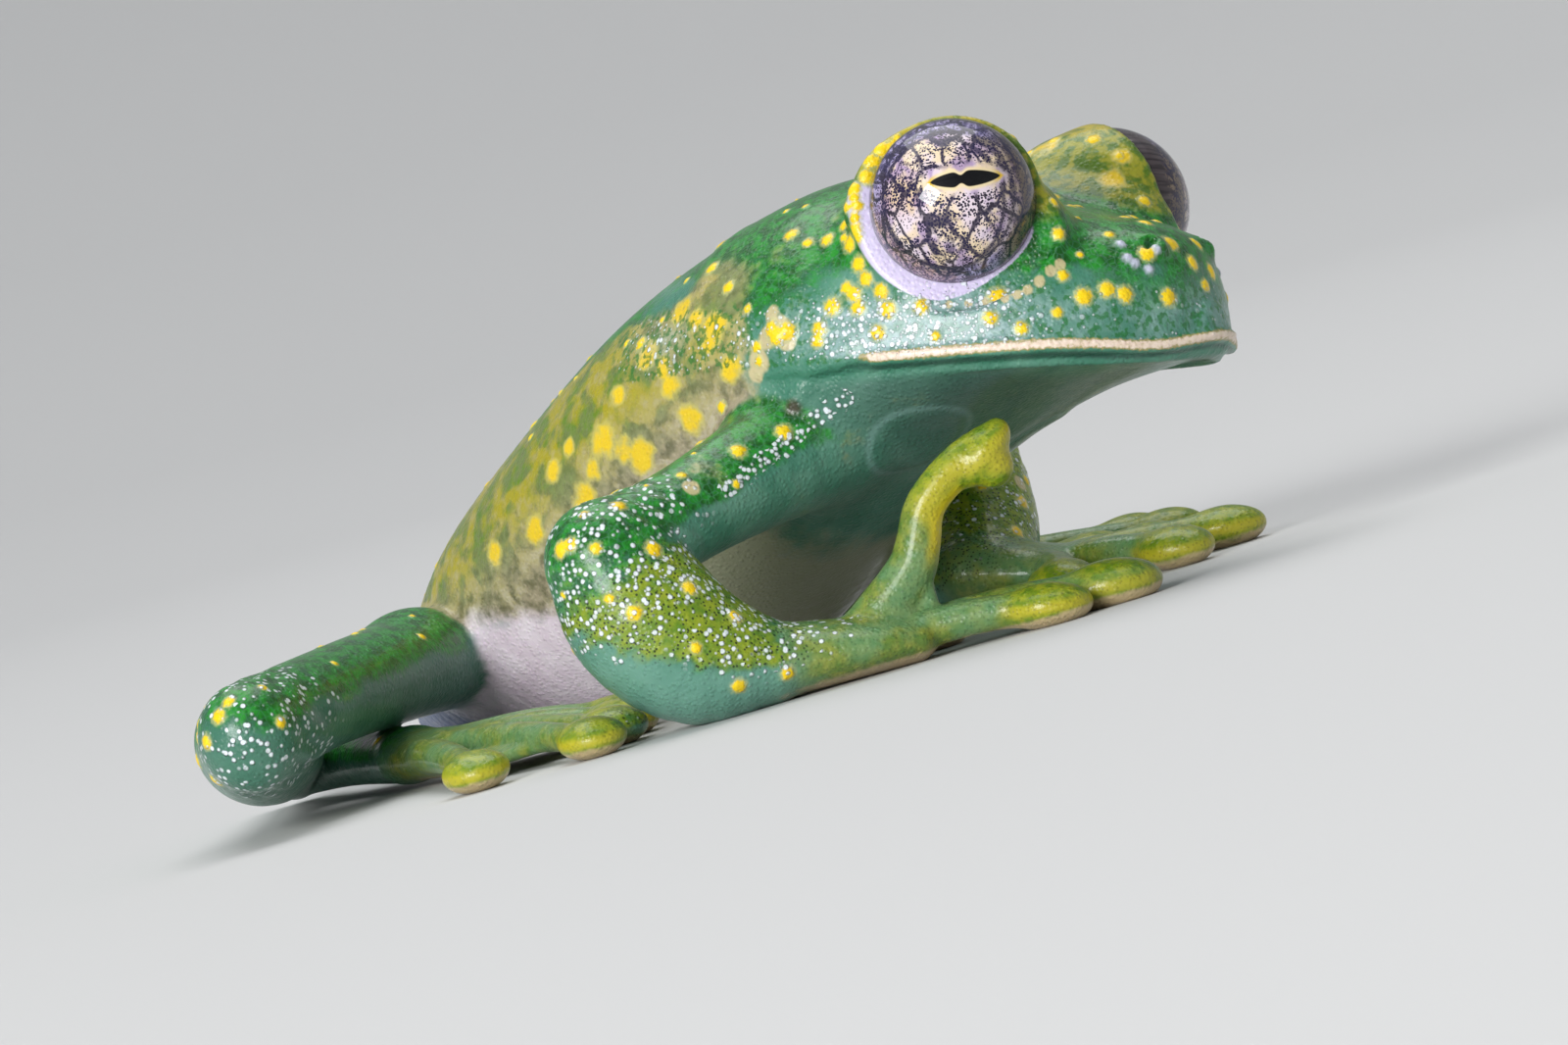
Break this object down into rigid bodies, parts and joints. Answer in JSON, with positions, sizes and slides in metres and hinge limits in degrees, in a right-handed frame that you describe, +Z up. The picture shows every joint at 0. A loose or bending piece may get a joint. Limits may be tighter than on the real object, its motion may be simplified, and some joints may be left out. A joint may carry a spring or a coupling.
{
  "type": "glass frog",
  "caption": "Life-size still glass frog crouched on the floor, chest raised on its arms, head turned to its left, one finger lifted.",
  "frame": {"origin": "on the floor, under the flat of the belly on the middle line of the body", "axes": "+X ahead along the body, +Y to the frog's left, +Z up"},
  "size_m": [0.0256, 0.0288, 0.011],
  "materials": {
    "skin_back": "moist green skin with raised yellow and white granules",
    "skin_pale": "moist thin yellow-green skin",
    "eye": "clear wet cornea over a silvery netted iris"
  },
  "bodies": {
    "root": {"torso": "skin_back", "head": "skin_back", "eye_right": "eye", "eye_left": "eye", "upper_arm_right": "skin_back", "forearm_right": "skin_back", "hand_right": "skin_pale", "finger_1_right": "skin_pale", "finger_2_right": "skin_pale", "upper_arm_left": "skin_back", "forearm_left": "skin_back", "hand_left": "skin_pale", "finger_1_left": "skin_pale", "finger_2_left": "skin_pale", "thigh_right": "skin_back", "shank_right": "skin_back", "tarsus_right": "skin_pale", "foot_right": "skin_pale", "thigh_left": "skin_back", "shank_left": "skin_back", "tarsus_left": "skin_pale", "foot_left": "skin_pale"}
  },
  "joints": []
}
